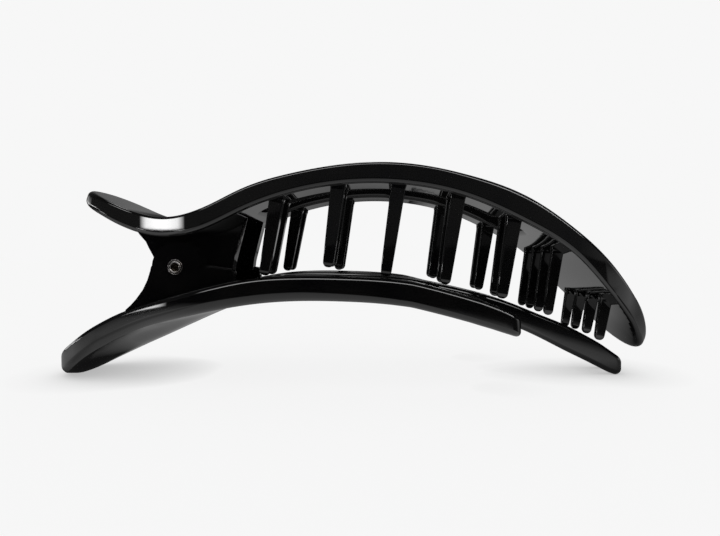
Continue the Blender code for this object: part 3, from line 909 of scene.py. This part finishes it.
def toothTree():
    tree = bpy.data.node_groups.new("sweptTeeth", "GeometryNodeTree")
    face = tree.interface
    face.new_socket("Lines", in_out="INPUT", socket_type="NodeSocketGeometry")
    corner = face.new_socket("Corner", in_out="INPUT", socket_type="NodeSocketFloat")
    corner.default_value = 0.5
    thickness = face.new_socket("Thickness", in_out="INPUT", socket_type="NodeSocketFloat")
    finish = face.new_socket("Finish", in_out="INPUT", socket_type="NodeSocketMaterial")
    face.new_socket("Teeth", in_out="OUTPUT", socket_type="NodeSocketGeometry")
    nodes, links = tree.nodes, tree.links
    entry = nodes.new("NodeGroupInput")
    leave = nodes.new("NodeGroupOutput")
    toCurve = nodes.new("GeometryNodeMeshToCurve")
    normal = nodes.new("GeometryNodeSetCurveNormal")
    normal.mode = "FREE"
    normal.inputs["Normal"].default_value = (0.0, 1.0, 0.0)
    width = nodes.new("GeometryNodeInputNamedAttribute")
    width.data_type = "FLOAT"
    width.inputs["Name"].default_value = "halfWidth"
    square = nodes.new("GeometryNodeCurvePrimitiveQuadrilateral")
    square.inputs["Height"].default_value = 2.0
    double = nodes.new("ShaderNodeMath")
    double.operation = "MULTIPLY"
    double.inputs[1].default_value = 2.0
    links.new(entry.outputs["Thickness"], double.inputs[0])
    links.new(double.outputs["Value"], square.inputs["Width"])
    fillet = nodes.new("GeometryNodeFilletCurve")
    fillet.mode = "POLY"
    fillet.inputs["Count"].default_value = teeth["cornerSteps"]
    sweep = nodes.new("GeometryNodeCurveToMesh")
    sweep.inputs["Fill Caps"].default_value = True
    realize = nodes.new("GeometryNodeRealizeInstances")
    paint = nodes.new("GeometryNodeSetMaterial")
    links.new(entry.outputs["Lines"], toCurve.inputs["Mesh"])
    links.new(toCurve.outputs["Curve"], normal.inputs["Curve"])
    links.new(normal.outputs["Curve"], sweep.inputs["Curve"])
    links.new(width.outputs["Attribute"], sweep.inputs["Scale"])
    links.new(square.outputs["Curve"], fillet.inputs["Curve"])
    links.new(entry.outputs["Corner"], fillet.inputs["Radius"])
    links.new(fillet.outputs["Curve"], sweep.inputs["Profile Curve"])
    links.new(sweep.outputs["Mesh"], realize.inputs["Geometry"])
    links.new(realize.outputs["Geometry"], paint.inputs["Geometry"])
    links.new(entry.outputs["Finish"], paint.inputs["Material"])
    links.new(paint.outputs["Geometry"], leave.inputs["Teeth"])
    return tree, {item.name: item.identifier for item in (corner, thickness, finish)}


def bakedCopy(name, holder):
    graph = bpy.context.evaluated_depsgraph_get()
    mesh = bpy.data.meshes.new_from_object(holder.evaluated_get(graph))
    mesh.name = name
    made = bpy.data.objects.new(name, mesh)
    scene.collection.objects.link(made)
    return made


def toothStations(length, widths):
    flare, tip, flat = teeth["flareLength"], teeth["tipRound"], teeth["tipFlat"]
    flareRings, shankRings, tipRings = teeth["rings"]
    stations = []
    for share in np.linspace(0, 1, flareRings)[:-1]:
        stations.append((share * flare, widths[0] / 2 + teeth["rootFlare"] * (1 - share) ** 2))
    for share in np.linspace(0, 1, shankRings)[:-1]:
        distance = flare + share * (length - tip - flare)
        stations.append((distance, (widths[0] + (widths[1] - widths[0]) * distance / length) / 2))
    for angle in np.linspace(0, math.pi / 2, tipRings)[:-1]:
        distance = length - tip + tip * math.sin(angle)
        stations.append((distance, widths[1] / 2 * (flat + (1 - flat) * math.cos(angle))))
    stations.append((length, widths[1] / 2 * flat))
    return stations


def teethObject():
    points, edges, halves = [], [], []
    groups = (
        (teeth["sideRows"], teeth["sideAcross"], teeth["sideWidths"]),
        (teeth["endRows"], teeth["endAcross"], teeth["endWidths"]),
    )
    for rows, across, widths in groups:
        for rootPlace, tipPlace, tipHeights in rows:
            plateHeight = upperInner(rootPlace)
            for y, tipHeight in zip(across, tipHeights):
                root = np.array((rootPlace, y, plateHeight))
                along = np.array((tipPlace, y, tipHeight)) - root
                length = np.linalg.norm(along)
                along /= length
                stations = [(-teeth["rootDepth"], widths[0] / 2 + teeth["rootFlare"])]
                stations += toothStations(length, widths)
                for i, (distance, half) in enumerate(stations):
                    if i:
                        edges.append((len(points) - 1, len(points)))
                    points.append(tuple(float(v) * millimetre for v in root + along * distance))
                    halves.append(half * millimetre)
    mesh = bpy.data.meshes.new("toothLines")
    mesh.from_pydata(points, edges, [])
    mesh.attributes.new("halfWidth", "FLOAT", "POINT").data.foreach_set("value", halves)
    holder = bpy.data.objects.new("toothLines", mesh)
    scene.collection.objects.link(holder)
    tree, sockets = toothTree()
    modifier = holder.modifiers.new("sweptTeeth", "NODES")
    modifier.node_group = tree
    modifier[sockets["Corner"]] = teeth["corner"]
    modifier[sockets["Thickness"]] = teeth["thickness"]
    modifier[sockets["Finish"]] = blackPlastic
    made = bakedCopy("teeth", holder)
    bpy.data.objects.remove(holder, do_unlink=True)
    return made


# lugs and hinge

hinge = {
    "place": (-35.75, 25.2),
    "holeRadius": 1.35,
    "holeSides": 48,
    "upperHead": 4.9,
    "upperArc": (300, 165, 40),  # degrees from, degrees to, points
    "lowerHead": 5.2,
    "lowerArc": (0, 180, 48),
    "upperInner": 8.4,
    "upperOuter": 11.5,
    "lowerInner": 11.8,
    "lowerOuter": 14.2,
    "edge": 0.2,
    "edgeSteps": 4,
    "upperFront": ((-21.1, 37.45), (-21.5, 35.55), (-23.9, 26.65), (-24.3, 23.85)),
    "upperBack": (
        (-41.35, 26.6),
        (-42.05, 28.2),
        (-42.5, 29.5),
        (-43.3, 30.75),
        (-44.75, 32.4),
        (-46.0, 34.3),
    ),
    "lowerFront": ((-23.2, 19.55), (-23.2, 24.05), (-23.7, 24.5), (-29.35, 25.35), (-30.15, 24.85)),
    "lowerBack": (
        (-41.35, 24.4),
        (-42.0, 22.4),
        (-43.05, 20.3),
        (-44.4, 18.2),
        (-46.95, 16.05),
        (-47.45, 13.85),
    ),
}
pin = {
    "radius": 1.05,
    "bore": 0.8,
    "boreDepth": 1.0,
    "boreFloor": 0.05,  # radius left open at the bore's bottom
    "headRadius": 1.65,
    "headEdge": 0.1,
    "headLength": 0.5,
    "rolls": ((1.53, 0.12, 0.15, 0.25), (1.1, 0.3, 0.0, 0.4)),  # crest's radius, half width, depth, drop
    "rollSteps": 13,
    "clearance": 0.3,
    "sides": 64,
    "sharpAngle": 40,
}


def arcAboutPin(radius, start, end, steps):
    x, z = hinge["place"]
    angles = np.radians(np.linspace(start, end, steps))
    return [(x + radius * math.cos(a), z + radius * math.sin(a)) for a in angles]


def circleAboutPin(radius, sides):
    return arcAboutPin(radius, 0, 360 - 360 / sides, sides)


def stackRings(shell, rows, closed=True):
    for low, high in zip(rows, rows[1:]):
        for i in range(len(low)):
            shell.faces.new((low[i - 1], low[i], high[i], high[i - 1]))
    if closed:
        shell.faces.new(rows[0])
        shell.faces.new(rows[-1])


def lugsObject(name, outline, inner, outer):
    shell = bmesh.new()
    for low, high in ((-outer, -inner), (inner, outer)):
        rows = [[shell.verts.new((x, y, z)) for x, z in outline] for y in (low, high)]
        stackRings(shell, rows)
        rims = [shell.edges.get((row[i - 1], row[i])) for row in rows for i in range(len(row))]
        bmesh.ops.bevel(
            shell, geom=rims, offset=hinge["edge"], segments=hinge["edgeSteps"], profile=0.5, affect="EDGES"
        )
    return shellObject(name, shell, blackPlastic)


def holeObject(name, halfLength):
    shell = bmesh.new()
    circle = circleAboutPin(hinge["holeRadius"], hinge["holeSides"])
    stackRings(shell, [[shell.verts.new((x, y, z)) for x, z in circle] for y in (-halfLength, halfLength)])
    return shellObject(name, shell, blackPlastic)


def joined(name, plate, additions, hole):
    for helper, operation in [(helper, "UNION") for helper in additions] + [(hole, "DIFFERENCE")]:
        modifier = plate.modifiers.new(helper.name, "BOOLEAN")
        modifier.operation = operation
        modifier.object = helper
        modifier.solver = "MANIFOLD"
    made = bakedCopy(name, plate)
    for old in (plate, *additions, hole):
        bpy.data.objects.remove(old, do_unlink=True)
    mesh = made.data
    shell = bmesh.new()
    shell.from_mesh(mesh)
    bmesh.ops.remove_doubles(shell, verts=shell.verts[:], dist=clip["weld"])
    shell.to_mesh(mesh)
    shell.free()
    mesh.shade_smooth()
    mesh.set_sharp_from_angle(angle=math.radians(clip["sharpAngle"]))
    weighted = made.modifiers.new("flatFacesFirst", "WEIGHTED_NORMAL")
    weighted.keep_sharp = True
    weighted.mode = "FACE_AREA"
    return made


def upperJawObject():
    head = arcAboutPin(hinge["upperHead"], *hinge["upperArc"])
    outline = [*hinge["upperFront"], *head, *hinge["upperBack"]]
    lugs = lugsObject("upperLugs", outline, hinge["upperInner"], hinge["upperOuter"])
    hole = holeObject("upperHole", hinge["upperOuter"] + 1)
    return joined("upperJaw", upperPlate(), [teethObject(), lugs], hole)


def lowerJawObject():
    head = arcAboutPin(hinge["lowerHead"], *hinge["lowerArc"])
    outline = [*hinge["lowerFront"], *head, *hinge["lowerBack"]]
    lugs = lugsObject("lowerLugs", outline, hinge["lowerInner"], hinge["lowerOuter"])
    hole = holeObject("lowerHole", hinge["lowerOuter"] + 1)
    return joined("lowerJaw", lowerPlate(), [lugs], hole)


def pinObject():
    reach = hinge["lowerOuter"] + pin["clearance"]
    end = reach + pin["headLength"]
    profile = [(pin["radius"], -reach), (pin["headRadius"] - pin["headEdge"], -reach)]
    for crest, half, depth, drop in pin["rolls"]:
        for angle in np.linspace(0, math.pi, pin["rollSteps"]):
            sunk = depth + drop * (1 - math.sin(angle))
            profile.append((crest + half * math.cos(angle), -end + sunk))
    profile.append((pin["bore"], -end + pin["boreDepth"]))
    profile.append((pin["boreFloor"], -end + pin["boreDepth"]))
    profile += [(radius, -y) for radius, y in reversed(profile)]
    shell = bmesh.new()
    rows = []
    for radius, y in profile:
        rows.append([shell.verts.new((x, y, z)) for x, z in circleAboutPin(radius, pin["sides"])])
    stackRings(shell, rows + rows[:1], closed=False)
    made = shellObject("hingePin", shell, brightSteel)
    made.data.shade_smooth()
    made.data.set_sharp_from_angle(angle=math.radians(pin["sharpAngle"]))
    return made


# spring

spring = {
    "coilRadius": 2.7,
    "wireRadius": 0.45,
    "wireSides": 16,
    "turns": 6.5,
    "halfLength": 3.6,
    "stepsPerTurn": 40,
    "upperLeg": ((-43.65, 31.45), (-41.15, 30.7), (-38.2, 29.3)),
    "lowerLeg": ((-38.25, 21.3), (-41.25, 19.7), (-44.25, 17.75)),
    # two points along the upper leg, from the coil towards the upper jaw
    "upperLegStart": (-37.5, 0.0, 28.8),
    "upperLegEnd": (-39.5, 0.0, 31.5),
}


def wireTree():
    tree = bpy.data.node_groups.new("springWire", "GeometryNodeTree")
    face = tree.interface
    face.new_socket("Path", in_out="INPUT", socket_type="NodeSocketGeometry")
    thick = face.new_socket("Wire radius", in_out="INPUT", socket_type="NodeSocketFloat")
    sides = face.new_socket("Sides", in_out="INPUT", socket_type="NodeSocketInt")
    finish = face.new_socket("Finish", in_out="INPUT", socket_type="NodeSocketMaterial")
    face.new_socket("Wire", in_out="OUTPUT", socket_type="NodeSocketGeometry")
    nodes, links = tree.nodes, tree.links
    entry = nodes.new("NodeGroupInput")
    leave = nodes.new("NodeGroupOutput")
    toCurve = nodes.new("GeometryNodeMeshToCurve")
    circle = nodes.new("GeometryNodeCurvePrimitiveCircle")
    sweep = nodes.new("GeometryNodeCurveToMesh")
    sweep.inputs["Fill Caps"].default_value = True
    smooth = nodes.new("GeometryNodeSetShadeSmooth")
    realize = nodes.new("GeometryNodeRealizeInstances")
    paint = nodes.new("GeometryNodeSetMaterial")
    links.new(entry.outputs["Path"], toCurve.inputs["Mesh"])
    links.new(entry.outputs["Sides"], circle.inputs["Resolution"])
    links.new(entry.outputs["Wire radius"], circle.inputs["Radius"])
    links.new(toCurve.outputs["Curve"], sweep.inputs["Curve"])
    links.new(circle.outputs["Curve"], sweep.inputs["Profile Curve"])
    links.new(sweep.outputs["Mesh"], smooth.inputs["Geometry"])
    links.new(smooth.outputs["Geometry"], realize.inputs["Geometry"])
    links.new(realize.outputs["Geometry"], paint.inputs["Geometry"])
    links.new(entry.outputs["Finish"], paint.inputs["Material"])
    links.new(paint.outputs["Geometry"], leave.inputs["Wire"])
    return tree, {"Wire radius": thick.identifier, "Sides": sides.identifier, "Finish": finish.identifier}


def springPath():
    x0, z0 = hinge["place"]
    steps = int(spring["turns"] * spring["stepsPerTurn"])
    half, radius = spring["halfLength"], spring["coilRadius"]
    path = [(x, -half, z) for x, z in spring["upperLeg"]]
    for i in range(steps + 1):
        angle = math.pi / 2 + 2 * math.pi * i / spring["stepsPerTurn"]
        y = half * (2 * i / steps - 1)
        path.append((x0 + radius * math.cos(angle), y, z0 + radius * math.sin(angle)))
    return path + [(x, half, z) for x, z in spring["lowerLeg"]]


def springObject():
    path = [tuple(value * millimetre for value in point) for point in springPath()]
    mesh = bpy.data.meshes.new("springPath")
    mesh.from_pydata(path, [(i, i + 1) for i in range(len(path) - 1)], [])
    holder = bpy.data.objects.new("springPath", mesh)
    scene.collection.objects.link(holder)
    tree, sockets = wireTree()
    modifier = holder.modifiers.new("springWire", "NODES")
    modifier.node_group = tree
    modifier[sockets["Wire radius"]] = spring["wireRadius"] * millimetre
    modifier[sockets["Sides"]] = spring["wireSides"]
    modifier[sockets["Finish"]] = brightSteel
    made = bakedCopy("torsionSpring", holder)
    bpy.data.objects.remove(holder, do_unlink=True)
    return made


# the clip, piece by piece

pieces = (
    (upperJawObject, "upper_jaw", "upper", "plastic"),
    (lowerJawObject, "lower_jaw", "lower", "plastic"),
    (pinObject, "hinge_pin", "lower", "steel"),
    (springObject, "torsion_spring", "lower", "steel"),
)
for build, node, body, slotName in pieces:
    piece = build()
    if build is springObject:
        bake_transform(piece)
    else:
        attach(piece, body)
    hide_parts(node)
    print(f"{piece.name}: {len(piece.data.polygons)} faces on {body}")
